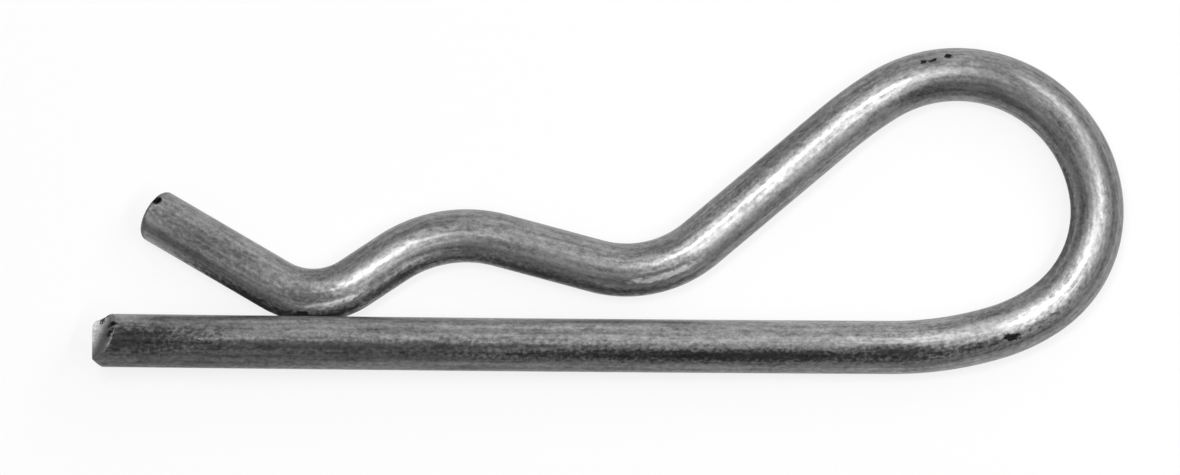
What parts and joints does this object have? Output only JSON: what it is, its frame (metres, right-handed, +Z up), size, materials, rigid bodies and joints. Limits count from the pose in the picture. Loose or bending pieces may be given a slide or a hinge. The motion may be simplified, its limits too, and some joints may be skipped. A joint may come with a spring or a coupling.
{
  "type": "hitch r clip pin",
  "caption": "R-shaped spring clip pin bent from round steel wire: a straight leg, a round finger bow and a wavy sprung arm that grips a shaft.",
  "frame": {"origin": "on the axis of the held shaft, where it crosses the leg in plan, level with the centreline of the bow and the arm", "axes": "+X along the leg from its free tip to the bow, +Y from the leg towards the sprung arm, +Z up, out of the flat of the bow; the clip lies flat"},
  "size_m": [0.0773, 0.0247, 0.0065],
  "materials": {
    "spring_steel": "dull grey drawn wire, satin, with fine lines along it"
  },
  "bodies": {
    "root": {"r_clip": "spring_steel"}
  },
  "joints": []
}
